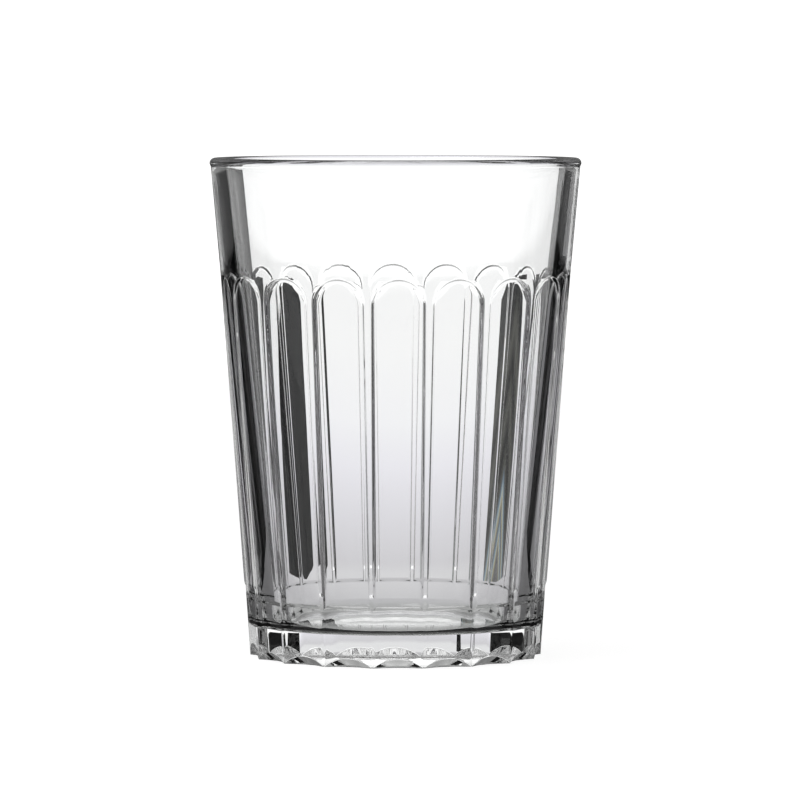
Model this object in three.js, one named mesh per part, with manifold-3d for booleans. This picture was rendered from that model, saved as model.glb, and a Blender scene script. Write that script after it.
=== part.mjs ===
// A rocks glass: a pressed, clear tumbler with a plain drinking band, round-headed flat
// panels between narrow ribs, and a heavy faceted foot with a scalloped lower edge.
// Millimetres, +Z up. The origin is the middle of the plane that the glass stands on,
// and one panel faces -Y.

import * as THREE from 'three';
import { mergeVertices } from 'three/addons/utils/BufferGeometryUtils.js';
import Module from 'manifold-3d';

// Overall sizes
const HEIGHT = 100;
const RIM_RADIUS = 37.3;
const SHOULDER_HEIGHT = 77.4;
const SHOULDER_RADIUS = 35.17;
const BASE_RADIUS = 29.36;

// Rim: a slim bead with a rounded lip
const BEAD_HEIGHT = 1.8;
const BEAD_PROUD = 0.25;
const LIP_RADIUS = 1.1;

// Cavity: a tapered space with a rounded corner above a thick floor
const MOUTH_RADIUS = 34.1;
const FLOOR_RADIUS = 23.7;
const FLOOR_THICKNESS = 6.2;
const FLOOR_CORNER = 3.5;

// Panels: flat, sunk into the tapered side, with a concave fillet all round
const PANEL_COUNT = 18;
const PANEL_DEPTH = 0.85;
const PANEL_FILLET = 1.2;
const PANEL_TOP_GAP = 0.7;
const RIB_TOP_WIDTH = 1.75;
const RIB_FOOT_WIDTH = 0.8;

// Foot: one flat facet under each panel, each with a scoop out of its lower edge
const FOOT_HEIGHT = 11.7;
const FOOT_TOP_CORNER_RADIUS = 30.1;
const FOOT_BASE_CORNER_RADIUS = 29.3;
const RIB_END_ABOVE_FOOT = 2.5;
const SCOOP_RISE = 1.8;
const SCOOP_CORNER_LIFT = 0.15;
const SCOOP_TILT = Math.PI / 4;

// Underside: a shallow hollow inside a flat standing ring
const PUNT_RADIUS = 22;
const PUNT_DEPTH = 0.5;

// Cutters reach this far past the surfaces that they cut
const CUTTER_REACH = 6;

// Facets of the round surfaces
const PANEL_STEPS = 4;
const LIP_STEPS = 4;
const CORNER_STEPS = 5;
const PUNT_STEPS = 4;
const FILLET_STEPS = 2;
const ARCH_STEPS = 8;
const SCOOP_STEPS = 40;

const PITCH = (2 * Math.PI) / PANEL_COUNT;

const wasm = await Module();
wasm.setup();

// Turns a closed three.js geometry into a solid that can be cut.
function solidOf(geometry) {
  geometry.deleteAttribute('normal');
  geometry.deleteAttribute('uv');
  const merged = mergeVertices(geometry);
  const index = merged.index.array;
  const triangles = [];
  for (let i = 0; i < index.length; i += 3) {
    const [a, b, c] = [index[i], index[i + 1], index[i + 2]];
    if (a !== b && b !== c && c !== a) {
      triangles.push(a, b, c);
    }
  }
  return new wasm.Manifold(new wasm.Mesh({
    numProp: 3,
    vertProperties: new Float32Array(merged.attributes.position.array),
    triVerts: new Uint32Array(triangles),
  }));
}

// Turns a finished solid back into a three.js geometry.
function geometryOf(solid) {
  const mesh = solid.getMesh();
  const geometry = new THREE.BufferGeometry();
  geometry.setAttribute('position', new THREE.BufferAttribute(mesh.vertProperties, 3));
  geometry.setIndex(new THREE.BufferAttribute(mesh.triVerts, 1));
  geometry.computeVertexNormals();
  return geometry;
}

// Points along an arc in the half-section, where x is the radius and y the height.
function arc(centreRadius, centreHeight, radius, from, to, steps) {
  return Array.from({ length: steps + 1 }, (_, i) => {
    const angle = THREE.MathUtils.lerp(from, to, i / steps);
    return new THREE.Vector2(
      centreRadius + radius * Math.cos(angle),
      centreHeight + radius * Math.sin(angle),
    );
  });
}

// The radius of the ribs' tapered surface, below the shoulder.
function ribRadius(height) {
  return THREE.MathUtils.mapLinear(height, 0, SHOULDER_HEIGHT, BASE_RADIUS, SHOULDER_RADIUS);
}

// How far a panel's fillet runs in from its outline, where the panel is sunk this deep.
function filletRun(depth) {
  return Math.sqrt(Math.max(2 * PANEL_FILLET * depth - depth ** 2, 0));
}

// Underside, from the middle out to the edge of the standing ring.
function underside() {
  const hollow = Array.from({ length: PUNT_STEPS + 1 }, (_, i) => {
    const share = i / PUNT_STEPS;
    return new THREE.Vector2(PUNT_RADIUS * share, PUNT_DEPTH * (1 - share ** 2));
  });
  return [...hollow, new THREE.Vector2(BASE_RADIUS, 0)];
}

// Outside of the side wall and the rim, from the shoulder up to the cavity's mouth.
function sideAndRim() {
  const beadFoot = HEIGHT - BEAD_HEIGHT;
  const lipHeight = HEIGHT - LIP_RADIUS;
  return [
    new THREE.Vector2(SHOULDER_RADIUS, SHOULDER_HEIGHT),
    new THREE.Vector2(RIM_RADIUS - BEAD_PROUD, beadFoot),
    new THREE.Vector2(RIM_RADIUS, beadFoot + BEAD_PROUD),
    ...arc(RIM_RADIUS - LIP_RADIUS, lipHeight, LIP_RADIUS, 0, Math.PI / 2, LIP_STEPS),
    ...arc(MOUTH_RADIUS + LIP_RADIUS, lipHeight, LIP_RADIUS, Math.PI / 2, Math.PI, LIP_STEPS),
  ];
}

// Inside of the cavity, from the tapered wall round the corner to the middle of the floor.
function cavity() {
  const wallRise = HEIGHT - LIP_RADIUS - FLOOR_THICKNESS;
  const taper = Math.atan2(MOUTH_RADIUS - FLOOR_RADIUS, wallRise);
  const cornerHeight = FLOOR_THICKNESS + FLOOR_CORNER;
  const wallAtCorner = FLOOR_RADIUS + FLOOR_CORNER * Math.tan(taper);
  const cornerRadius = wallAtCorner - FLOOR_CORNER / Math.cos(taper);
  return [
    ...arc(cornerRadius, cornerHeight, FLOOR_CORNER, -taper, -Math.PI / 2, CORNER_STEPS),
    new THREE.Vector2(0, FLOOR_THICKNESS),
  ];
}

// The glass as it would be with a plain round outside.
function roundBlank() {
  const profile = [...underside(), ...sideAndRim(), ...cavity()];
  const turned = new THREE.LatheGeometry(profile, PANEL_COUNT * PANEL_STEPS);
  return solidOf(turned.rotateX(Math.PI / 2));
}

// A matrix for a face towards -Y that leans outward as it rises: its own x runs along the
// face to the right, y up the face and z straight out of it.
function leaningFace(radiusAtBase, lean) {
  const right = new THREE.Vector3(1, 0, 0);
  const up = new THREE.Vector3(0, -Math.sin(lean), Math.cos(lean));
  const out = new THREE.Vector3(0, -Math.cos(lean), -Math.sin(lean));
  return new THREE.Matrix4().makeBasis(right, up, out).setPosition(0, -radiusAtBase, 0);
}

// Half the width of a panel's flat at a height, from the rib beside it and the fillet's run.
function flatHalfWidth(height, ribWidth) {
  const radius = ribRadius(height);
  const edgeAngle = PITCH / 2 - ribWidth / 2 / radius;
  const edgeDepth = PANEL_DEPTH - radius * (1 - Math.cos(edgeAngle));
  return radius * Math.sin(edgeAngle) - filletRun(edgeDepth);
}

// The cutter for one panel: its flat's outline pushed outward, with a rounded inner edge.
function panelCutter() {
  const lean = Math.atan2(SHOULDER_RADIUS - BASE_RADIUS, SHOULDER_HEIGHT);
  const footApothem = FOOT_TOP_CORNER_RADIUS * Math.cos(PITCH / 2);
  const footDepth = footApothem - (ribRadius(FOOT_HEIGHT) - PANEL_DEPTH);
  const flatBottom = FOOT_HEIGHT + filletRun(footDepth);
  const flatTop = SHOULDER_HEIGHT - PANEL_TOP_GAP - filletRun(PANEL_DEPTH);
  const topHalfWidth = flatHalfWidth(flatTop, RIB_TOP_WIDTH);
  const bottomHalfWidth = flatHalfWidth(flatBottom, RIB_FOOT_WIDTH);
  const spring = flatTop - topHalfWidth;

  const outline = new THREE.Shape();
  outline.moveTo(-bottomHalfWidth, flatBottom / Math.cos(lean));
  outline.lineTo(bottomHalfWidth, flatBottom / Math.cos(lean));
  outline.absarc(0, spring / Math.cos(lean), topHalfWidth, 0, Math.PI, false);
  outline.closePath();

  const cutter = new THREE.ExtrudeGeometry(outline, {
    depth: CUTTER_REACH,
    curveSegments: ARCH_STEPS,
    bevelThickness: PANEL_FILLET,
    bevelSize: PANEL_FILLET,
    bevelSegments: FILLET_STEPS,
  });
  cutter.translate(0, 0, PANEL_FILLET - PANEL_DEPTH);
  return cutter.applyMatrix4(leaningFace(BASE_RADIUS, lean));
}

// The lean of a foot facet, and its distance from the axis at the standing plane.
function footFacet() {
  const baseApothem = FOOT_BASE_CORNER_RADIUS * Math.cos(PITCH / 2);
  const topApothem = FOOT_TOP_CORNER_RADIUS * Math.cos(PITCH / 2);
  return { baseApothem, lean: Math.atan2(topApothem - baseApothem, FOOT_HEIGHT) };
}

// The cutter for one facet of the foot, which also ends the ribs a little above it.
function facetCutter() {
  const { baseApothem, lean } = footFacet();
  const rise = FOOT_HEIGHT + RIB_END_ABOVE_FOOT;
  const width = 2 * FOOT_TOP_CORNER_RADIUS * Math.tan(PITCH / 2);
  const cutter = new THREE.BoxGeometry(width, rise + CUTTER_REACH, CUTTER_REACH);
  cutter.translate(0, (rise - CUTTER_REACH) / 2, CUTTER_REACH / 2);
  return cutter.applyMatrix4(leaningFace(baseApothem, lean));
}

// The cutter for one scoop: a leaning cylinder that grazes the facet's corners and rises
// to an arch in its middle.
function scoopCutter() {
  const { baseApothem, lean } = footFacet();
  const halfWidth = FOOT_BASE_CORNER_RADIUS * Math.sin(PITCH / 2);
  const sag = (SCOOP_RISE - SCOOP_CORNER_LIFT) * Math.cos(SCOOP_TILT);
  const radius = (halfWidth ** 2 + sag ** 2) / (2 * sag);
  const archTop = new THREE.Vector3(0, -(baseApothem + SCOOP_RISE * Math.tan(lean)), SCOOP_RISE);

  const right = new THREE.Vector3(1, 0, 0);
  const along = new THREE.Vector3(0, -Math.cos(SCOOP_TILT), Math.sin(SCOOP_TILT));
  const away = new THREE.Vector3(0, -Math.sin(SCOOP_TILT), -Math.cos(SCOOP_TILT));
  const middle = archTop.addScaledVector(away, radius);
  const cutter = new THREE.CylinderGeometry(radius, radius, 2 * CUTTER_REACH, SCOOP_STEPS);
  return cutter.applyMatrix4(new THREE.Matrix4().makeBasis(right, along, away).setPosition(middle));
}

// One cutter of each kind, repeated round the glass.
function cutAllRound(solid, cutter) {
  let cut = solid;
  for (let i = 0; i < PANEL_COUNT; i += 1) {
    cut = cut.subtract(solidOf(cutter.clone().rotateZ(i * PITCH)));
  }
  return cut;
}

function tumbler() {
  const cutters = [panelCutter(), facetCutter(), scoopCutter()];
  const solid = cutters.reduce(cutAllRound, roundBlank());
  const clearGlass = new THREE.MeshStandardMaterial({
    color: 0xf1f5f4,
    roughness: 0.04,
    metalness: 0,
    transparent: true,
    opacity: 0.35,
  });
  const mesh = new THREE.Mesh(geometryOf(solid), clearGlass);
  mesh.name = 'glass_tumbler';
  return mesh;
}

const rocksGlass = new THREE.Group();
rocksGlass.add(tumbler());

export default rocksGlass;
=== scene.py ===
# %% [markdown]
# # A pressed rocks glass
#
# The glass is one piece of clear soda-lime glass, pressed in an iron mould: a plain
# drinking band, eighteen sunk panels with round heads between narrow ribs, and a heavy
# faceted foot with a scalloped lower edge. The CAD model already has its true size and
# place, so the script loads that first and builds the finer glass around the same axis,
# in metres, with +Z up and one panel facing -Y.

import math

import bpy
import numpy as np
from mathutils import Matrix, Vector


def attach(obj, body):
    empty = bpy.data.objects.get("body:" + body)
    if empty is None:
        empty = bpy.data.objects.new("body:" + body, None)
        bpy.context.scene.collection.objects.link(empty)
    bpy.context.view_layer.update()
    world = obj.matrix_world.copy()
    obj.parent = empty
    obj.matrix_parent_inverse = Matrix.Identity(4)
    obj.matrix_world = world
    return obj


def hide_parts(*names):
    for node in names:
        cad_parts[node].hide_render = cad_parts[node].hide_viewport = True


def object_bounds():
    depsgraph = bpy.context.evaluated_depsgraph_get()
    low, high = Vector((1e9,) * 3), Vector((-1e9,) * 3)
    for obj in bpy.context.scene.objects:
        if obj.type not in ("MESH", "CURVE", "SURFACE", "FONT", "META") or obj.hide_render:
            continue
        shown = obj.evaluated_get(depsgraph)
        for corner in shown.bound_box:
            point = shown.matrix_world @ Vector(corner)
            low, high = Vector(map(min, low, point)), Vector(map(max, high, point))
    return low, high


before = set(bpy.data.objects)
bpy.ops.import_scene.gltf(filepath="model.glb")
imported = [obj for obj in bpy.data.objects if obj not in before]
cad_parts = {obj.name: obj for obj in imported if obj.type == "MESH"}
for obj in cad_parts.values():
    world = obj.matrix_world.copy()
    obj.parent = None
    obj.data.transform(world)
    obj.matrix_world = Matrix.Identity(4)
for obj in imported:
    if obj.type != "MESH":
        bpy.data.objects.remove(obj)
cad_low, cad_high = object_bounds()
MM = 0.001
HEIGHT = cad_high.z / MM
RIM_RADIUS = cad_high.x / MM
print(f"the CAD glass is {HEIGHT:.1f} mm tall and {2 * RIM_RADIUS:.1f} mm across its rim")

# %% [markdown]
# ## The sizes of the mould
#
# A pressed glass takes its outside from the mould and its inside from the plunger, so its
# sizes fall into those two sets. They are kept in millimetres, as a mould maker would
# write them, and turned into metres only when the mesh is made.

# %% Mould and plunger sizes, in millimetres
SHOULDER_HEIGHT = 77.4
SHOULDER_RADIUS = 35.17
BASE_RADIUS = 29.36
BEAD_HEIGHT = 1.8
BEAD_PROUD = 0.25
LIP_RADIUS = 1.1

PANEL_COUNT = 18
PANEL_TOP_DEPTH = 0.42
PANEL_FOOT_DEPTH = 0.8
PANEL_CROWN = 40
PANEL_FILLET = 0.8
PANEL_TOP_GAP = 0.7
RIB_TOP_WIDTH = 1.75
RIB_FOOT_WIDTH = 0.8

FOOT_HEIGHT = 11.7
FOOT_TOP_CORNER_RADIUS = 30.1
FOOT_BASE_CORNER_RADIUS = 29.3
RIB_END_ABOVE_FOOT = 2.5
SCOOP_RISE = 1.8
SCOOP_CORNER_LIFT = 0.15
PUNT_RADIUS = 22
PUNT_DEPTH = 0.5

MOUTH_RADIUS = 34.1
FLOOR_RADIUS = 23.7
FLOOR_THICKNESS = 6.2
FLOOR_CORNER = 2.7

EDGE_ROUNDING = 0.22
SCOOP_ROUNDING = 0.05
PITCH = 2 * math.pi / PANEL_COUNT
print(f"{PANEL_COUNT} panels, one every {math.degrees(PITCH):.0f} degrees")

# %% [markdown]
# ## The outside as a formula
#
# Each feature of the mould is a surface that can be written as a distance from the axis:
# the tapered ribs, the sunk panels, the facets of the foot and the scoops under them.
# The glass is whatever lies inside all of them, which is their lowest value. Booleans
# could cut the same features, but they leave knife-sharp edges, and fire-polished glass
# has none. A soft minimum gives the lowest value and rounds the edge in one step.

# %% Soft minimum and the tapered ribs
def soft_min(a, b, rounding=EDGE_ROUNDING):
    """The lower of two surfaces, with the edge where they meet rounded off."""
    closeness = np.clip(1 - np.abs(a - b) / rounding, 0, 1)
    return np.minimum(a, b) - rounding / 4 * closeness**2


def rib_radius(height):
    """Distance from the axis to the tapered surface of the ribs."""
    return BASE_RADIUS + (SHOULDER_RADIUS - BASE_RADIUS) * height / SHOULDER_HEIGHT


def fillet_run(depth):
    """How far a panel's fillet runs in from its outline, where the panel is this deep."""
    return math.sqrt(max(2 * PANEL_FILLET * depth - depth**2, 0))


print(f"the ribs widen from {rib_radius(0):.1f} to {rib_radius(SHOULDER_HEIGHT):.1f} mm")

# %% [markdown]
# ## The panels
#
# A panel is a nearly flat face, sunk into the taper, with a semicircular head. It lies a
# little deeper at the foot than at the top. Its face swells by a fifth of a millimetre,
# because hot glass never lies quite flat in a mould. A plane would be simpler, but the slight
# crown keeps the view through the glass calm, so the face is a wide arc instead.

# %% Panel faces
def panel_depth(height):
    """How deep the middle of a panel lies below the ribs."""
    share = (height - FOOT_HEIGHT) / (SHOULDER_HEIGHT - FOOT_HEIGHT)
    return PANEL_FOOT_DEPTH + (PANEL_TOP_DEPTH - PANEL_FOOT_DEPTH) * share


def crowned_face(turn, height):
    """Distance from the axis to a panel's face, at an angle from the panel's middle."""
    centre = rib_radius(height) - panel_depth(height) - PANEL_CROWN
    return centre * np.cos(turn) + np.sqrt(PANEL_CROWN**2 - (centre * np.sin(turn)) ** 2)


def flat_half_width(height, width_of_ribs):
    """Half the width of a panel's flat, between ribs of this width."""
    radius = rib_radius(height)
    edge_turn = PITCH / 2 - width_of_ribs / 2 / radius
    edge_depth = radius - crowned_face(edge_turn, height)
    return radius * math.sin(edge_turn) - fillet_run(edge_depth)


foot_apothem = FOOT_TOP_CORNER_RADIUS * math.cos(PITCH / 2)
foot_step = foot_apothem - (rib_radius(FOOT_HEIGHT) - PANEL_FOOT_DEPTH)
FLAT_BOTTOM = FOOT_HEIGHT + fillet_run(foot_step)
FLAT_TOP = SHOULDER_HEIGHT - PANEL_TOP_GAP - fillet_run(PANEL_TOP_DEPTH)
HEAD_RADIUS = flat_half_width(FLAT_TOP, RIB_TOP_WIDTH)
FLAT_BOTTOM_HALF = flat_half_width(FLAT_BOTTOM, RIB_FOOT_WIDTH)
SPRING_HEIGHT = FLAT_TOP - HEAD_RADIUS
print(f"each panel's flat runs from {FLAT_BOTTOM:.1f} to {FLAT_TOP:.1f} mm up")

# %% [markdown]
# ## The fillet round each panel
#
# A concave fillet runs up both sides of each panel and over its head. A bevel on the mesh
# could make it, but bevels pinch where their edges meet. The distance of a point from the
# outline of the flat tells how far up the fillet it lies, so one distance formula gives the
# face, the fillet and the arch. That distance depends on the radius that is being worked
# out, so the formula runs a few rounds until the two agree.

# %% Fillets
RUN_OUT_SLOPE = 4
SETTLING_ROUNDS = 4


def side_share(height):
    """How far up a panel's straight sides a height lies, from 0 at their foot to 1 at the head."""
    return np.clip((height - FLAT_BOTTOM) / (SPRING_HEIGHT - FLAT_BOTTOM), 0, 1)


def side_half_width(height):
    """Half the width of a panel's flat between its foot and the spring of its head."""
    return FLAT_BOTTOM_HALF + (HEAD_RADIUS - FLAT_BOTTOM_HALF) * side_share(height)


def distance_outside_flat(across, height):
    """How far a point lies outside a panel's flat, below zero on the flat itself."""
    beside = np.abs(across) - side_half_width(height)
    below = FLAT_BOTTOM - height
    round_the_head = np.hypot(across, height - SPRING_HEIGHT) - HEAD_RADIUS
    return np.where(height > SPRING_HEIGHT, round_the_head, np.maximum(beside, below))


def panel_radius(turn, height):
    """Distance from the axis to a panel, at an angle from the panel's middle."""
    radius = rib_radius(height)
    for _ in range(SETTLING_ROUNDS):
        outside = distance_outside_flat(radius * np.sin(turn), height)
        run = np.clip(outside, 0, PANEL_FILLET)
        climb = PANEL_FILLET - np.sqrt(PANEL_FILLET**2 - run**2)
        climb = climb + RUN_OUT_SLOPE * np.maximum(outside - PANEL_FILLET, 0)
        radius = crowned_face(turn, height) + climb / np.cos(turn)
    return radius


print(f"the fillet of a head is {fillet_run(PANEL_TOP_DEPTH):.2f} mm wide")

# %% [markdown]
# ## The foot
#
# Under the panels the glass turns into a plain prism with eighteen flat facets. A leaning
# cylinder scoops the lower edge of each facet, so the glass stands on a scalloped ring.
# Eighteen cylinders could be cut away with Booleans. Here the facets and the scoops are two
# more distances from the axis, so the same soft minimum rounds their edges too.

# %% Facets and scoops
base_apothem = FOOT_BASE_CORNER_RADIUS * math.cos(PITCH / 2)
scoop_half_width = FOOT_BASE_CORNER_RADIUS * math.sin(PITCH / 2)
scoop_sag = (SCOOP_RISE - SCOOP_CORNER_LIFT) / math.sqrt(2)
SCOOP_RADIUS = (scoop_half_width**2 + scoop_sag**2) / (2 * scoop_sag)


def facet_distance(height):
    """Distance from the axis to the middle of a facet."""
    return base_apothem + (foot_apothem - base_apothem) * height / FOOT_HEIGHT


def facet_radius(turn, height):
    """Distance from the axis to a facet, which also ends the ribs just above the foot."""
    above = np.maximum(height - FOOT_HEIGHT - RIB_END_ABOVE_FOOT, 0)
    return facet_distance(height) / np.cos(turn) + above


def scoop_drop(turn):
    """How far the scoop lies below its highest point, at an angle from the facet's middle."""
    across = base_apothem * np.tan(turn)
    return (SCOOP_RADIUS - np.sqrt(SCOOP_RADIUS**2 - across**2)) * math.sqrt(2)


def scoop_radius(turn, height):
    """Distance from the axis to the scoop, which leans out at 45 degrees."""
    return (facet_distance(SCOOP_RISE) + height - SCOOP_RISE + scoop_drop(turn)) / np.cos(turn)


def side_radius(turn, height):
    """Distance from the axis to the moulded side, below the shoulder."""
    radius = soft_min(rib_radius(height), panel_radius(turn, height))
    facets = soft_min(facet_radius(turn, height), facet_radius(PITCH - np.abs(turn), height))
    return soft_min(soft_min(radius, facets), scoop_radius(turn, height), SCOOP_ROUNDING)


print(f"the scoops are cut with a cylinder of {SCOOP_RADIUS:.1f} mm radius")

# %% [markdown]
# ## Columns that follow the panels
#
# The formula is sampled on rings of points. Even spacing would smear the narrow fillets, and
# a fine grid everywhere would make a heavy mesh. So the columns bunch up between the flat
# and the rib at every height, and close in over the heads of the panels.

# %% Columns
FLAT_COLUMNS = 5
FILLET_COLUMNS = 6
RIB_COLUMNS = 4
LEAST_HEAD_SHARE = 0.4


def rib_width(height):
    """Width of a rib between the foot and the spring of the panels' heads."""
    return RIB_FOOT_WIDTH + (RIB_TOP_WIDTH - RIB_FOOT_WIDTH) * side_share(height)


def half_panel_turns(height):
    """Angles from the middle of a panel to the middle of the next rib, at one height."""
    radius = rib_radius(height)
    rib_turn = PITCH / 2 - rib_width(height) / 2 / radius
    flat_turn = math.atan2(float(side_half_width(height)), radius - panel_depth(height))
    head = np.clip((height - SPRING_HEIGHT) / (HEAD_RADIUS + fillet_run(PANEL_TOP_DEPTH)), 0, 1)
    head_share = max(math.sqrt(1 - head**2), LEAST_HEAD_SHARE)
    flat_end = flat_turn * head_share
    rib_start = rib_turn * head_share
    flat = np.linspace(0, flat_end, FLAT_COLUMNS, endpoint=False)
    fillet = np.linspace(flat_end, rib_start, FILLET_COLUMNS, endpoint=False)
    rib = np.linspace(rib_start, PITCH / 2, RIB_COLUMNS, endpoint=False)
    return np.concatenate([flat, fillet, rib])


def ring_turns(height):
    """Angles round the whole glass at one height, and each one's angle from its own panel."""
    half = half_panel_turns(height)
    panel = np.concatenate([half, [PITCH / 2], -half[:0:-1]])
    whole = (panel % PITCH) + PITCH * np.arange(PANEL_COUNT)[:, None]
    return whole.ravel(), np.tile(panel, PANEL_COUNT)


print(f"{len(ring_turns(0)[0])} columns round the glass")

# %% [markdown]
# ## Rows that follow the edges
#
# The rows bunch up in the same way: round the top of the foot, where the ribs end, and over
# the heads. Level rows would cut the scalloped edge into saw teeth, so the lowest rows rise
# and fall with it.

# %% Rows
FACET_ROWS = 5
FOOT_EDGE_ROWS = 12
RIB_END_ROWS = 8
PANEL_ROWS = 10
HEAD_ROWS = 30
SHOULDER_ROWS = 4
FOOT_EDGE_MARGIN = 0.4
FLAT_MARGIN = 0.3
RIB_END_MARGIN = 0.8
SHARES_BELOW_SCALLOP = [0, 0.25, 0.5, 0.75, 0.92, 0.97, 1]
SHARES_ABOVE_SCALLOP = [0.025, 0.06, 0.3, 0.65]


def spread(start, end, count):
    """Heights from start up to but not including end."""
    return np.linspace(start, end, count, endpoint=False)


foot_edge = FOOT_HEIGHT - FOOT_EDGE_MARGIN
flat_start = FLAT_BOTTOM + FLAT_MARGIN
above_rib_ends = FOOT_HEIGHT + RIB_END_ABOVE_FOOT + RIB_END_MARGIN
head_top = FLAT_TOP + fillet_run(PANEL_TOP_DEPTH)
head_turns = spread(0, math.pi / 2, HEAD_ROWS)
side_heights = np.concatenate([
    spread(SCOOP_RISE + FOOT_EDGE_MARGIN, foot_edge, FACET_ROWS),
    spread(foot_edge, flat_start, FOOT_EDGE_ROWS),
    spread(flat_start, above_rib_ends, RIB_END_ROWS),
    spread(above_rib_ends, SPRING_HEIGHT, PANEL_ROWS),
    SPRING_HEIGHT + (head_top - SPRING_HEIGHT) * np.sin(head_turns),
    spread(head_top, SHOULDER_HEIGHT, SHOULDER_ROWS),
])


def scoop_edge(turn):
    """Height of the scalloped edge, where the scoop meets its facet."""
    lean = (foot_apothem - base_apothem) / FOOT_HEIGHT
    return SCOOP_RISE - scoop_drop(turn) / (1 - lean)


def scalloped_heights(turn):
    """Heights of the rows that follow the scalloped edge, first below it and then above it."""
    edge = scoop_edge(turn)
    room = side_heights[0] - edge
    below = [edge * share for share in SHARES_BELOW_SCALLOP]
    above = [edge + room * share for share in SHARES_ABOVE_SCALLOP]
    return below + above


print(f"{len(scalloped_heights(0))} scalloped rows and {len(side_heights)} level ones")

# %% [markdown]
# ## The band and the rim
#
# Above the shoulder the glass is round: a plain band, a small bead and a fire-polished lip.
# A revolved curve would do, but its rings have to join the moulded side point by point, so
# only the half-section is drawn here, as straight lines, arcs and one soft S for the bead.

# %% Half-section of the band and rim, as radius and height
BAND_STEPS = 6
BEAD_STEPS = 8
LIP_STEPS = 7


def arc(centre_radius, centre_height, radius, start, end, steps):
    """Points along an arc of the half-section."""
    angles = np.linspace(start, end, steps + 1)
    return [
        (centre_radius + radius * math.cos(a), centre_height + radius * math.sin(a))
        for a in angles
    ]


def line(start, end, steps):
    """Points along a straight stretch of the half-section, without its two ends."""
    shares = np.linspace(0, 1, steps + 1)[1:-1]
    return [
        (start[0] + (end[0] - start[0]) * s, start[1] + (end[1] - start[1]) * s)
        for s in shares
    ]


def swell(start, end, lean, steps):
    """Points from start up to but not including end, which leave the lean in a soft S."""
    rise = end[1] - start[1]
    proud = end[0] - start[0] - lean * rise
    shares = np.linspace(0, 1, steps, endpoint=False)
    return [
        (start[0] + lean * rise * s + proud * s * s * (3 - 2 * s), start[1] + rise * s)
        for s in shares
    ]


lip_height = HEIGHT - LIP_RADIUS
shoulder = (SHOULDER_RADIUS, SHOULDER_HEIGHT)
bead_foot = (RIM_RADIUS - BEAD_PROUD, HEIGHT - BEAD_HEIGHT)
band_lean = (bead_foot[0] - SHOULDER_RADIUS) / (bead_foot[1] - SHOULDER_HEIGHT)
outer_lip = arc(RIM_RADIUS - LIP_RADIUS, lip_height, LIP_RADIUS, 0, math.pi / 2, LIP_STEPS)
inner_lip = arc(MOUTH_RADIUS + LIP_RADIUS, lip_height, LIP_RADIUS, math.pi / 2, math.pi, LIP_STEPS)
band_and_rim = [shoulder] + line(shoulder, bead_foot, BAND_STEPS)
band_and_rim += swell(bead_foot, outer_lip[0], band_lean, BEAD_STEPS) + outer_lip + inner_lip
print(f"{len(band_and_rim)} rings on the band and rim")

# %% [markdown]
# ## The inside and the underside
#
# The plunger leaves a tapered space with a rounded corner above a thick floor, and the
# underside has a shallow hollow inside the standing ring. Both are round as well, so they
# are half-sections of the same kind.

# %% Half-sections of the inside and the underside
WALL_STEPS = 14
CORNER_STEPS = 14
FLOOR_STEPS = 6
PUNT_STEPS = 7

taper = math.atan2(MOUTH_RADIUS - FLOOR_RADIUS, lip_height - FLOOR_THICKNESS)
wall_at_corner = FLOOR_RADIUS + FLOOR_CORNER * math.tan(taper)
corner_radius = wall_at_corner - FLOOR_CORNER / math.cos(taper)
corner_height = FLOOR_THICKNESS + FLOOR_CORNER
corner = arc(corner_radius, corner_height, FLOOR_CORNER, -taper, -math.pi / 2, CORNER_STEPS)
inside = line(inner_lip[-1], corner[0], WALL_STEPS) + corner
inside += line(corner[-1], (0, FLOOR_THICKNESS), FLOOR_STEPS)

punt_radii = np.linspace(0, PUNT_RADIUS, PUNT_STEPS + 1)[1:]
punt = [(r, PUNT_DEPTH * (1 - (r / PUNT_RADIUS) ** 2)) for r in punt_radii]
print(f"{len(inside)} rings inside and {len(punt)} in the hollow underneath")

# %% [markdown]
# ## The rings
#
# The rings run in one order: out from the middle of the underside, up the moulded side, over
# the lip and down the inside to the middle of the floor. All of them have the same number
# of points, so nothing has to be stitched later.

# %% Rings of the glass
STANDING_RING_STEPS = 4


def ring_points(radius, height, turns):
    """Points of one ring in metres, counted from -Y towards +X."""
    heights = np.broadcast_to(height, turns.shape)
    return np.column_stack([radius * np.sin(turns), -radius * np.cos(turns), heights]) * MM


def glass_rings():
    """Every ring, from the middle of the underside, up the outside and down the inside."""
    base_turns, base_panel = ring_turns(0)
    rings = [ring_points(r, z, base_turns) for r, z in punt]
    standing_width = side_radius(base_panel, 0.0) - PUNT_RADIUS
    for share in np.linspace(0, 1, STANDING_RING_STEPS + 1)[1:-1]:
        rings.append(ring_points(PUNT_RADIUS + standing_width * share, 0.0, base_turns))
    for heights in scalloped_heights(base_panel):
        rings.append(ring_points(side_radius(base_panel, heights), heights, base_turns))
    for height in side_heights:
        turns, panel = ring_turns(height)
        rings.append(ring_points(side_radius(panel, height), height, turns))
    top_turns, _ = ring_turns(SHOULDER_HEIGHT)
    rings += [ring_points(r, z, top_turns) for r, z in band_and_rim + inside]
    return rings


rings = glass_rings()
print(f"{len(rings)} rings")

# %% [markdown]
# ## The mesh
#
# Rings of equal length join into quads by index alone, and two points close the middle of
# the underside and of the floor. Smooth shading is right everywhere, because the
# edges are rounded in the geometry. The mesh takes the place of the plain CAD solid.

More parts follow.
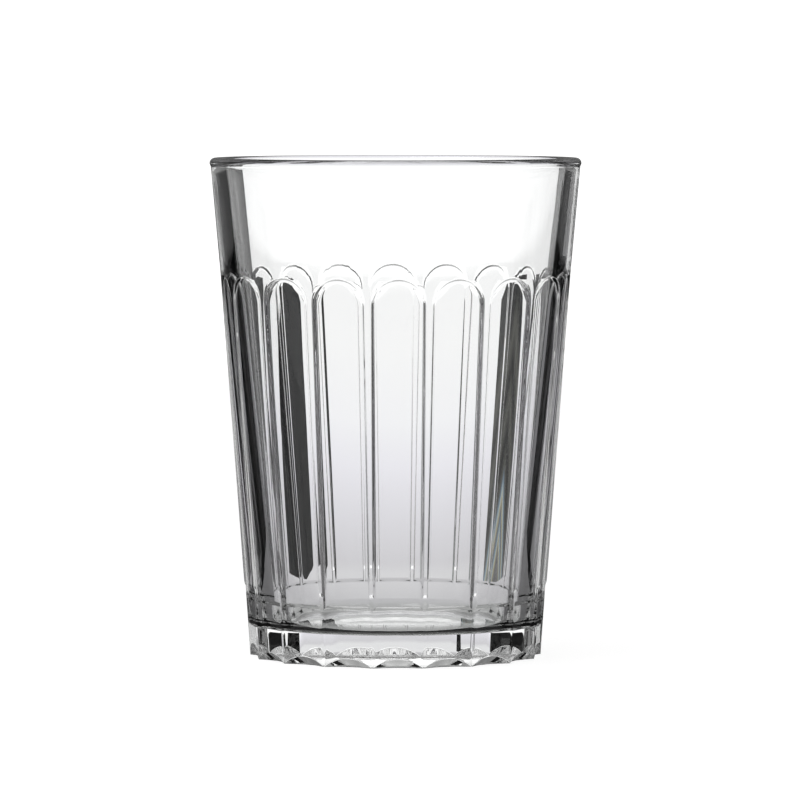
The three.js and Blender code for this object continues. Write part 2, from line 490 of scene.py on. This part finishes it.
# %% Build the glass
def joined_rings(rings):
    """Vertices and faces of a closed skin over the rings, with a point at each end."""
    count = len(rings[0])
    start = np.array([[0, 0, PUNT_DEPTH * MM]])
    end = np.array([[0, 0, FLOOR_THICKNESS * MM]])
    points = np.concatenate([*rings, start, end])
    column = np.arange(count)
    after = (column + 1) % count
    faces = []
    for row in range(len(rings) - 1):
        low = row * count
        high = low + count
        faces += np.column_stack([low + column, low + after, high + after, high + column]).tolist()
    last = (len(rings) - 1) * count
    neighbours = list(zip(column.tolist(), after.tolist()))
    faces += [(len(points) - 2, b, a) for a, b in neighbours]
    faces += [(last + a, last + b, len(points) - 1) for a, b in neighbours]
    return points, faces


points, faces = joined_rings(rings)
glass_mesh = bpy.data.meshes.new("pressed_glass")
glass_mesh.from_pydata(points.tolist(), [], faces)
glass_mesh.shade_smooth()
pressed_glass = bpy.data.objects.new("pressed_glass", glass_mesh)
bpy.context.scene.collection.objects.link(pressed_glass)
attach(pressed_glass, "root")
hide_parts("glass_tumbler")
print(f"the glass has {len(glass_mesh.polygons)} faces, valid: {not glass_mesh.validate()}")

# %% [markdown]
# ## Waves in the glass
#
# Pressing leaves glass faintly wavy along the panels, because the hot glass drags as the
# plunger comes down. A perfectly smooth shader would look like a computer's glass. Waves of
# a few thousandths of a millimetre are too fine for the mesh, so they are a bump made from
# noise that is stretched upright.

# %% Waves
WAVE_WIDTH = 6 * MM
WAVE_STRETCH = 0.22
WAVE_HEIGHT = 0.004 * MM


def glass_waves(nodes, links, position):
    """A normal that carries the faint upright waves of pressed glass."""
    stretch = nodes.new("ShaderNodeVectorMath")
    stretch.operation = "MULTIPLY"
    stretch.inputs[1].default_value = (1, 1, WAVE_STRETCH)
    links.new(position, stretch.inputs[0])
    noise = nodes.new("ShaderNodeTexNoise")
    noise.inputs["Scale"].default_value = 1 / WAVE_WIDTH
    noise.inputs["Detail"].default_value = 1
    links.new(stretch.outputs[0], noise.inputs["Vector"])
    bump = nodes.new("ShaderNodeBump")
    bump.inputs["Distance"].default_value = WAVE_HEIGHT
    links.new(noise.outputs["Fac"], bump.inputs["Height"])
    return bump.outputs["Normal"]


print(f"waves about {WAVE_WIDTH / MM:.0f} mm wide and {WAVE_HEIGHT / MM:.3f} mm high")

# %% [markdown]
# ## Scuffs on the standing ring
#
# The standing ring is scuffed by every table that the glass has stood on. A painted mask could
# place each scratch, but they are too small to be told apart, so patchy roughness that fades
# out just above the table is enough.

# %% Scuffs
SCUFF_REACH = 0.5 * MM
SCUFF_SIZE = 0.8 * MM
SCUFF_ROUGHNESS = 0.35


def glass_scuffs(nodes, links, position):
    """Roughness of the scuffed standing ring, which fades to none a little above the table."""
    split = nodes.new("ShaderNodeSeparateXYZ")
    links.new(position, split.inputs[0])
    fade = nodes.new("ShaderNodeMapRange")
    fade.inputs["From Max"].default_value = SCUFF_REACH
    fade.inputs["To Min"].default_value = SCUFF_ROUGHNESS
    fade.inputs["To Max"].default_value = 0
    links.new(split.outputs["Z"], fade.inputs["Value"])
    noise = nodes.new("ShaderNodeTexNoise")
    noise.inputs["Scale"].default_value = 1 / SCUFF_SIZE
    links.new(position, noise.inputs["Vector"])
    patchy = nodes.new("ShaderNodeMath")
    patchy.operation = "MULTIPLY"
    links.new(fade.outputs["Result"], patchy.inputs[0])
    links.new(noise.outputs["Fac"], patchy.inputs[1])
    return patchy.outputs[0]


print(f"scuffs up to {SCUFF_REACH / MM} mm above the table")

# %% [markdown]
# ## Clear pressed glass
#
# Soda-lime glass bends light with an index of about 1.52, and a little iron in the melt
# gives it a breath of green. A volume would tint it by thickness, but it is slow and the
# exported model loses it. So the surface carries the tint, a little more of it at the thick
# foot.

# %% Glass material
GLASS_IOR = 1.52
CLEAR_TINT = (0.996, 0.999, 0.998, 1)
THICK_TINT = (0.986, 0.994, 0.990, 1)


def glass_tint(nodes, links, position):
    """The tint of the melt, which shows a little more where the foot is thick."""
    split = nodes.new("ShaderNodeSeparateXYZ")
    links.new(position, split.inputs[0])
    above_foot = nodes.new("ShaderNodeMapRange")
    above_foot.inputs["From Min"].default_value = FLOOR_THICKNESS * MM
    above_foot.inputs["From Max"].default_value = 2 * FLOOR_THICKNESS * MM
    links.new(split.outputs["Z"], above_foot.inputs["Value"])
    tint = nodes.new("ShaderNodeMix")
    tint.data_type = "RGBA"
    tint.inputs["A"].default_value = THICK_TINT
    tint.inputs["B"].default_value = CLEAR_TINT
    links.new(above_foot.outputs["Result"], tint.inputs["Factor"])
    return tint.outputs["Result"]


def clear_glass():
    """The clear glass, with its waves, scuffs and tint."""
    material = bpy.data.materials.new("clear_glass")
    material.use_nodes = True
    nodes = material.node_tree.nodes
    links = material.node_tree.links
    shader = nodes["Principled BSDF"]
    shader.inputs["IOR"].default_value = GLASS_IOR
    shader.inputs["Transmission Weight"].default_value = 1.0
    position = nodes.new("ShaderNodeTexCoord").outputs["Object"]
    links.new(glass_tint(nodes, links, position), shader.inputs["Base Color"])
    links.new(glass_scuffs(nodes, links, position), shader.inputs["Roughness"])
    links.new(glass_waves(nodes, links, position), shader.inputs["Normal"])
    return material


glass_mesh.materials.append(clear_glass())
print(f"clear glass with an index of {GLASS_IOR}")

# %% [markdown]
# ## The studio
#
# Clear glass has hardly any colour of its own: what shows is the room, bent. So the floor,
# the cards and the light below matter as much as the mesh. A picture of a studio could
# light the glass too, but paper and cards can be placed one by one, as a photographer
# does. They are plain meshes with matt materials, and none of them is part of the glass.

# %% Matt paper
PAPER_ROUGHNESS = 0.9


def stage_mesh(name, points, faces, material):
    """A piece of the studio, which is not part of the glass."""
    mesh = bpy.data.meshes.new(name)
    mesh.from_pydata(points, [], faces)
    mesh.materials.append(material)
    made = bpy.data.objects.new(name, mesh)
    bpy.context.scene.collection.objects.link(made)
    return made


def grey(level):
    """A plain grey, as an opaque colour."""
    return (level, level, level, 1)


def matt_material(name, level):
    """Matt paper of one grey level."""
    material = bpy.data.materials.new(name)
    material.use_nodes = True
    shader = material.node_tree.nodes["Principled BSDF"]
    shader.inputs["Base Color"].default_value = grey(level)
    shader.inputs["Roughness"].default_value = PAPER_ROUGHNESS
    shader.inputs["Specular IOR Level"].default_value = 0.0
    return material


print(f"paper with a roughness of {PAPER_ROUGHNESS}")

# %% [markdown]
# ## The painted pool of shade on the floor
#
# The floor is a wide pale sheet. Through the glass it shows a painted pool of shade round the
# foot that lightens to white with distance, as a sheet on a table does when the light comes
# from behind, and that gives the panels their grey fade. Lamps could make the pool, but their
# noise would show in the glass, so the shade is painted as a ramp of tones over the distance
# from the axis, in metres. Near the glass a painted sheen, paler where the paper is seen at a
# grazing angle, lights the facets of the foot.

# %% Painted pool of shade and painted sheen
# Painted shade: the grey tones of the floor through the glass, darkest under the foot.
PAINTED_SHADE_POOL = [
    (0.0, (0.42, 0.42, 0.42)),
    (0.029, (0.42, 0.42, 0.42)),
    (0.041, (0.46, 0.46, 0.465)),
    (0.05, (0.52, 0.515, 0.53)),
    (0.1, (0.56, 0.55, 0.57)),
    (0.15, (0.63, 0.62, 0.645)),
    (0.25, (0.74, 0.73, 0.77)),
    (0.37, (0.87, 0.86, 0.91)),
    (0.5, (0.96, 0.96, 0.98)),
    (0.75, (1, 1, 1)),
]
# Painted sheen: how much of it shows at each distance from the axis, in metres.
SHEEN = [
    (0.057, (0, 0, 0)),
    (0.064, (1, 1, 1)),
    (0.13, (1, 1, 1)),
    (0.16, (0, 0, 0)),
]
PAINTED_SHEEN_COLOUR = (0.78, 0.78, 0.79, 1)
SHEEN_STARTS = 0.84
SHEEN_IS_FULL = 0.9


def fill_ramp(ramp, stops):
    """Gives a colour ramp its stops, as places and colours."""
    elements = ramp.color_ramp.elements
    while len(elements) < len(stops):
        elements.new(1)
    for element, (place, colour) in zip(elements, stops):
        element.position = place
        element.color = (*colour, 1)


def multiplied(nodes, links, first, second):
    """The product of two values."""
    product = nodes.new("ShaderNodeMath")
    product.operation = "MULTIPLY"
    links.new(first, product.inputs[0])
    links.new(second, product.inputs[1])
    return product.outputs[0]


def painted_pool_colour(nodes, links):
    """Painted shade of the floor seen through glass, by distance from the axis, with a painted sheen.
    """
    place = nodes.new("ShaderNodeNewGeometry")
    distance = nodes.new("ShaderNodeVectorMath")
    distance.operation = "LENGTH"
    links.new(place.outputs["Position"], distance.inputs[0])
    pool = nodes.new("ShaderNodeValToRGB")
    fill_ramp(pool, PAINTED_SHADE_POOL)
    links.new(distance.outputs["Value"], pool.inputs["Fac"])
    near = nodes.new("ShaderNodeValToRGB")
    fill_ramp(near, SHEEN)
    links.new(distance.outputs["Value"], near.inputs["Fac"])
    # The painted sheen shows where the floor is seen at a grazing angle.
    slant = nodes.new("ShaderNodeLayerWeight")
    grazing = nodes.new("ShaderNodeMapRange")
    grazing.inputs["From Min"].default_value = SHEEN_STARTS
    grazing.inputs["From Max"].default_value = SHEEN_IS_FULL
    links.new(slant.outputs["Facing"], grazing.inputs["Value"])
    shine = multiplied(nodes, links, near.outputs["Color"], grazing.outputs["Result"])
    sheen = nodes.new("ShaderNodeMix")
    sheen.data_type = "RGBA"
    sheen.inputs["B"].default_value = PAINTED_SHEEN_COLOUR
    links.new(pool.outputs["Color"], sheen.inputs["A"])
    links.new(shine, sheen.inputs["Factor"])
    return sheen.outputs["Result"]


print(f"the pool reaches white {PAINTED_SHADE_POOL[-1][0]} m from the axis")

# %% [markdown]
# ## What reflected light sees
#
# A studio for glass is lit from the back and from above, and its front is left dim, so the
# ribs and edges get dark lines while the view straight through stays white. Black curtains
# would do that in a room. Here the Light Path node tells whether light was reflected by the
# glass, and the floor and the room dim their front for that light only.

# %% Lit back and unlit front
BACK_STARTS = 0.74
BACK_IS_FULL = 0.99


def seen_directly(nodes, links):
    """One for the camera and for light that has passed through glass, otherwise none."""
    path = nodes.new("ShaderNodeLightPath")
    seen = nodes.new("ShaderNodeMath")
    seen.operation = "MAXIMUM"
    links.new(path.outputs["Is Camera Ray"], seen.inputs[0])
    links.new(path.outputs["Is Transmission Ray"], seen.inputs[1])
    return seen.outputs[0]


def unlit_front(nodes, links, place, level):
    """Dims all but the back and the ceiling of the studio for light that the glass reflected."""
    direction = nodes.new("ShaderNodeVectorMath")
    direction.operation = "NORMALIZE"
    links.new(place, direction.inputs[0])
    split = nodes.new("ShaderNodeSeparateXYZ")
    links.new(direction.outputs["Vector"], split.inputs[0])
    most = nodes.new("ShaderNodeMath")
    most.operation = "MAXIMUM"
    links.new(split.outputs["Y"], most.inputs[0])
    links.new(split.outputs["Z"], most.inputs[1])
    behind = nodes.new("ShaderNodeMapRange")
    behind.interpolation_type = "SMOOTHSTEP"
    behind.inputs["From Min"].default_value = BACK_STARTS
    behind.inputs["From Max"].default_value = BACK_IS_FULL
    behind.inputs["To Min"].default_value = level
    links.new(most.outputs[0], behind.inputs["Value"])
    path = nodes.new("ShaderNodeLightPath")
    reflected = nodes.new("ShaderNodeMath")
    reflected.operation = "MINIMUM"
    reflected.inputs[1].default_value = 1
    links.new(path.outputs["Glossy Depth"], reflected.inputs[0])
    dimmed = nodes.new("ShaderNodeMapRange")
    dimmed.inputs["To Min"].default_value = 1
    links.new(reflected.outputs[0], dimmed.inputs["Value"])
    links.new(behind.outputs["Result"], dimmed.inputs["To Max"])
    return dimmed.outputs["Result"]


lit_reach = math.degrees(math.acos(BACK_STARTS))
print(f"the lit back reaches {lit_reach:.0f} degrees to each side")

# %% [markdown]
# ## The floor
#
# In front of the camera the floor is white, with the soft shadow of the glass on it, and a
# painted light makes it a little brighter towards its far end, near the lit wall. Every other
# ray sees darker paper, and through the glass the painted pool of shade. One lit sheet can't
# show both, so the Light Path node gives the camera's own rays the white and the rays that
# passed through glass the pool.

# %% Pale floor
FLOOR_HALF = 6.0
FLOOR_ALBEDO = 0.25
FLOOR_THROUGH_GLASS = 0.05
FLOOR_UNLIT = 0.2
CAMERA_LIFT = 0.87
FAR_STARTS = 1.02
FAR_IS_FULL = 1.2
FAR_LEVEL = 1.2


def far_lift(nodes, links, position):
    """Painted light: the floor grows a little brighter towards its far end, near the lit wall."""
    distance = nodes.new("ShaderNodeVectorMath")
    distance.operation = "LENGTH"
    links.new(position, distance.inputs[0])
    lift = nodes.new("ShaderNodeMapRange")
    lift.inputs["From Min"].default_value = FAR_STARTS
    lift.inputs["From Max"].default_value = FAR_IS_FULL
    lift.inputs["To Min"].default_value = 1
    lift.inputs["To Max"].default_value = FAR_LEVEL
    links.new(distance.outputs["Value"], lift.inputs["Value"])
    return lift.outputs["Result"]


def floor_material():
    """Pale paper, white to the camera, darker to other rays, with a painted pool of shade through
    glass.
    """
    material = matt_material("pale_floor", FLOOR_ALBEDO)
    nodes = material.node_tree.nodes
    links = material.node_tree.links
    shader = nodes["Principled BSDF"]
    path = nodes.new("ShaderNodeLightPath")
    colour = nodes.new("ShaderNodeMix")
    colour.data_type = "RGBA"
    colour.inputs["B"].default_value = grey(CAMERA_LIFT)
    links.new(path.outputs["Is Camera Ray"], colour.inputs["Factor"])
    links.new(painted_pool_colour(nodes, links), colour.inputs["A"])
    links.new(colour.outputs["Result"], shader.inputs["Emission Color"])
    # Painted shade: for every ray but the camera's the paper is darker, FLOOR_THROUGH_GLASS.
    paper = nodes.new("ShaderNodeMix")
    paper.data_type = "RGBA"
    paper.inputs["A"].default_value = grey(FLOOR_THROUGH_GLASS)
    paper.inputs["B"].default_value = grey(FLOOR_ALBEDO)
    links.new(path.outputs["Is Camera Ray"], paper.inputs["Factor"])
    links.new(paper.outputs["Result"], shader.inputs["Base Color"])
    place = nodes.new("ShaderNodeNewGeometry").outputs["Position"]
    front = unlit_front(nodes, links, place, FLOOR_UNLIT)
    seen = multiplied(nodes, links, seen_directly(nodes, links), front)
    strength = multiplied(nodes, links, seen, far_lift(nodes, links, place))
    links.new(strength, shader.inputs["Emission Strength"])
    return material


corners = [(-FLOOR_HALF, -FLOOR_HALF, 0), (FLOOR_HALF, -FLOOR_HALF, 0)]
corners += [(FLOOR_HALF, FLOOR_HALF, 0), (-FLOOR_HALF, FLOOR_HALF, 0)]
floor = stage_mesh("floor", corners, [(0, 1, 2, 3)], floor_material())
print(f"the floor is {2 * FLOOR_HALF:.0f} m square")

# %% [markdown]
# ## Black and grey cards
#
# A photographer draws the edges of clear glass with black cards: where the glass bends the
# view past a card, it turns black, and the ribs show as bright lines between dark panels.
# Dark panels in the material would stay dark in every other room, so the cards are boards in
# this one. Black ones serve the panels and grey ones the edges of the drinking band. The
# cards for the solid foot show only where light crosses two surfaces of glass, in and out.

# %% Plain cards
CARD_LEVEL = 0.006
BAND_CARD_LEVEL = 0.14
SOLID_CROSSINGS = 2.5


def foot_card_material():
    """Black card for the solid foot, where light crosses two surfaces and no more."""
    material = matt_material("foot_card", CARD_LEVEL)
    nodes = material.node_tree.nodes
    links = material.node_tree.links
    path = nodes.new("ShaderNodeLightPath")
    solid = nodes.new("ShaderNodeMath")
    solid.operation = "LESS_THAN"
    solid.inputs[1].default_value = SOLID_CROSSINGS
    links.new(path.outputs["Transmission Depth"], solid.inputs[0])
    links.new(solid.outputs[0], nodes["Principled BSDF"].inputs["Alpha"])
    return material


black_card = matt_material("black_card", CARD_LEVEL)
band_card = matt_material("band_card", BAND_CARD_LEVEL)
foot_card = foot_card_material()
print("black, grey and foot cards")

# %% [markdown]
# ## A card with painted glints
#
# The second panel on the right shows grey points, one above another, with a hint of colour
# between them. They are painted reflections of lamps, which the card itself glows with. Real
# lamps would take long to place, so the points are drawn as one ramp of tones that climbs the
# card and falls away on both sides of its middle.

# %% Card with painted glints
ASH = (0.3, 0.3, 0.3)
SMOKE = (0.17, 0.17, 0.17)
DUSK = (0.11, 0.11, 0.1)
SOOT = (0.03, 0.03, 0.03)
WARM = (0.4, 0.37, 0.26)
PALE = (0.38, 0.44, 0.45)
COOL = (0.17, 0.23, 0.29)
FLAME = [
    (0.0, ASH),
    (0.07, SMOKE),
    (0.16, SMOKE),
    (0.2, WARM),
    (0.225, PALE),
    (0.25, COOL),
    (0.29, SMOKE),
    (0.325, WARM),
    (0.36, PALE),
    (0.39, COOL),
    (0.43, DUSK),
    (0.53, SOOT),
    (0.65, DUSK),
    (0.76, SOOT),
    (0.88, DUSK),
    (1.0, SOOT),
]
FLAME_AXIS = 32.9 * MM
FLAME_SPREAD = 0.0456 / MM
FLAME_FOOT = 3.9 * MM
FLAME_TIP = 69.9 * MM


def painted_glint_material():
    """Card that glows with painted, pointed lamp reflections, one above another, darker towards the
    top.
    """
    material = matt_material("painted_glint_card", CARD_LEVEL)
    nodes = material.node_tree.nodes
    links = material.node_tree.links
    split = nodes.new("ShaderNodeSeparateXYZ")
    links.new(nodes.new("ShaderNodeNewGeometry").outputs["Position"], split.inputs[0])
    aside = nodes.new("ShaderNodeMath")
    aside.operation = "SUBTRACT"
    aside.inputs[1].default_value = FLAME_AXIS
    links.new(split.outputs["X"], aside.inputs[0])
    off_axis = nodes.new("ShaderNodeMath")
    off_axis.operation = "ABSOLUTE"
    links.new(aside.outputs[0], off_axis.inputs[0])
    rise = nodes.new("ShaderNodeMapRange")
    rise.inputs["From Min"].default_value = FLAME_FOOT
    rise.inputs["From Max"].default_value = FLAME_TIP
    links.new(split.outputs["Z"], rise.inputs["Value"])
    place = nodes.new("ShaderNodeMath")
    place.operation = "MULTIPLY_ADD"
    place.inputs[1].default_value = FLAME_SPREAD
    links.new(off_axis.outputs[0], place.inputs[0])
    links.new(rise.outputs[0], place.inputs[2])
    ramp = nodes.new("ShaderNodeValToRGB")
    fill_ramp(ramp, FLAME)
    links.new(place.outputs[0], ramp.inputs["Fac"])
    # Painted light: the card glows with the ramp of tones, as painted lamp reflections.
    shader = nodes["Principled BSDF"]
    links.new(ramp.outputs["Color"], shader.inputs["Emission Color"])
    shader.inputs["Emission Strength"].default_value = 1
    return material


painted_glint_card = painted_glint_material()
print(f"{len(FLAME)} tones on the satin card")

# %% [markdown]
# ## Where the cards stand
#
# The cards are flat boards behind the glass, all square to the Y axis: two narrow ones for the
# second panels from the middle, one of them with painted glints, two wide ones for the sides,
# two grey ones above those, and four low ones for the foot. Each has its distance along Y, and
# rows that give a height and the places of its two edges across, in millimetres. The camera
# doesn't see them and they cast no shadow, so they show only through the glass.

# %% Cards
CARDS = {
    "left_inner_card": (black_card, 50, [
        (8.4, -25, -39.2),
        (11.9, -20, -38.3),
        (67.4, -20.6, -29.2),
        (69.9, -21.8, -28.9),
        (71.2, -23.6, -28.9),
        (72.1, -26.2, -28.9),
    ]),
    "right_inner_card": (painted_glint_card, 50, [
        (6.9, 25.3, 44.7),
        (67.4, 26.7, 36.3),
        (69.9, 28.3, 36.3),
        (71.2, 29.9, 36.3),
        (72.1, 32.4, 36.3),
    ]),
    "left_outer_card": (black_card, 60, [(0.5, -52.5, -116), (70, -36.3, -116)]),
    "right_outer_card": (black_card, 60, [(0.5, 78, 116), (70, 43.3, 116)]),
    "left_band_card": (band_card, 60, [(70, -42.9, -116), (97, -42.9, -116)]),
    "right_band_card": (band_card, 60, [(70, 56.3, 116), (97, 56.3, 116)]),
    "left_low_card": (foot_card, 58, [(0.3, -12.8, -80), (4.4, -12.8, -80)]),
    "left_low_strip": (foot_card, 58, [(0.3, -5.2, -6.7), (4.4, -5.2, -6.7)]),
    "right_low_card": (foot_card, 58, [(0.3, 17.2, 31), (4.4, 17.2, 31)]),
    "right_low_edge": (foot_card, 58, [(0.3, 39.6, 80), (4.4, 39.6, 80)]),
}


def flat_card(name, material, distance, rows):
    """A flat board square to the Y axis, whose rows give a height and the two edges there."""
    points = [(across * MM, distance * MM, height * MM) for height, *edges in rows for across in edges]
    faces = [(i, i + 1, i + 3, i + 2) for i in range(0, len(points) - 2, 2)]
    card = stage_mesh(name, points, faces, material)
    card.visible_camera = False
    card.visible_diffuse = False
    card.visible_shadow = False


for name, sizes in CARDS.items():
    flat_card(name, *sizes)
print(f"{len(CARDS)} cards")

# %% [markdown]
# ## The room
#
# The room is white: brightest near the floor, dimmer half-way up the walls and bright again
# at the ceiling. Walls could be built, but the world's own shader gives the same with no
# noise. The camera and the light that passes through the glass see the room in full. The
# floor gets a gentler level from it, which leaves room for the lamp's shadow, and plain
# reflections a dim one.

# %% World
AMBIENT = 0.55
REFLECTED = 0.15
ROOM = [(0.0, 1.2), (0.2, 1.2), (0.33, 0.5), (0.45, 0.4), (0.7, 0.6), (0.9, 1.0)]
UNLIT = 0.5


def studio_world():
    """White to the camera and through glass, dimmer as a light and in reflections."""
    world = bpy.data.worlds.new("studio")
    world.use_nodes = True
    nodes = world.node_tree.nodes
    links = world.node_tree.links
    path = nodes.new("ShaderNodeLightPath")
    unseen = nodes.new("ShaderNodeMapRange")
    unseen.inputs["To Min"].default_value = AMBIENT
    unseen.inputs["To Max"].default_value = REFLECTED
    links.new(path.outputs["Is Glossy Ray"], unseen.inputs["Value"])
    direction = nodes.new("ShaderNodeTexCoord").outputs["Generated"]
    split = nodes.new("ShaderNodeSeparateXYZ")
    links.new(direction, split.inputs[0])
    ramp = nodes.new("ShaderNodeValToRGB")
    fill_ramp(ramp, [(rise, (level, level, level)) for rise, level in ROOM])
    links.new(split.outputs["Z"], ramp.inputs["Fac"])
    front = unlit_front(nodes, links, direction, UNLIT)
    room = multiplied(nodes, links, ramp.outputs["Color"], front)
    level = nodes.new("ShaderNodeMix")
    links.new(seen_directly(nodes, links), level.inputs["Factor"])
    links.new(unseen.outputs["Result"], level.inputs["A"])
    links.new(room, level.inputs["B"])
    background = nodes["Background"]
    background.inputs["Color"].default_value = (1, 1, 1, 1)
    links.new(level.outputs["Result"], background.inputs["Strength"])
    return world


bpy.context.scene.world = studio_world()
print(f"a white room, {ROOM[0][1]} bright near the floor")

# %% [markdown]
# ## The softbox
#
# One soft lamp hangs above the glass, to the left, and draws the faint shadow on the floor. A
# point lamp would draw a hard one. It is hidden from light that passes through the glass,
# because its square would show there.

# %% Softbox
LAMP_PLACE = Vector((-0.5, -0.2, 1.3))
LAMP_SIZE = 0.8
LAMP_WATTS = 5

lamp = bpy.data.lights.new("softbox", "AREA")
lamp.size = LAMP_SIZE
lamp.energy = LAMP_WATTS
softbox = bpy.data.objects.new("softbox", lamp)
softbox.location = LAMP_PLACE
softbox.rotation_euler = (-LAMP_PLACE).to_track_quat("-Z", "Y").to_euler()
softbox.visible_transmission = False
bpy.context.scene.collection.objects.link(softbox)
print(f"a {LAMP_SIZE} m softbox of {LAMP_WATTS} W")

# %% [markdown]
# ## Camera
#
# The glass is seen from a little above its rim through a long lens, so its sides hardly
# converge and the rim closes to a thin line. The camera stands about a degree round from
# the panel that faces -Y. Light crosses many surfaces in a glass, so it gets many bounces.

# %% Camera
CAMERA_DISTANCE = 1.182
CAMERA_HEIGHT = 0.118
CAMERA_TURN = math.radians(-1.0)
CAMERA_AIM = Vector((0.0009, 0, 0.0513))
LENS = 265
SENSOR = 36
GLASS_BOUNCES = 24
GLOSSY_BOUNCES = 16

view = bpy.data.cameras.new("camera")
view.lens = LENS
view.sensor_width = SENSOR
camera = bpy.data.objects.new("camera", view)
camera.location = (
    math.sin(CAMERA_TURN) * CAMERA_DISTANCE,
    -math.cos(CAMERA_TURN) * CAMERA_DISTANCE,
    CAMERA_HEIGHT,
)
camera.rotation_euler = (CAMERA_AIM - camera.location).to_track_quat("-Z", "Y").to_euler()
bpy.context.scene.collection.objects.link(camera)
bpy.context.scene.camera = camera
bpy.context.scene.view_settings.view_transform = "Standard"
bpy.context.scene.cycles.max_bounces = GLASS_BOUNCES
bpy.context.scene.cycles.transmission_bounces = GLASS_BOUNCES
bpy.context.scene.cycles.glossy_bounces = GLOSSY_BOUNCES
print(f"the camera is {CAMERA_DISTANCE} m away")
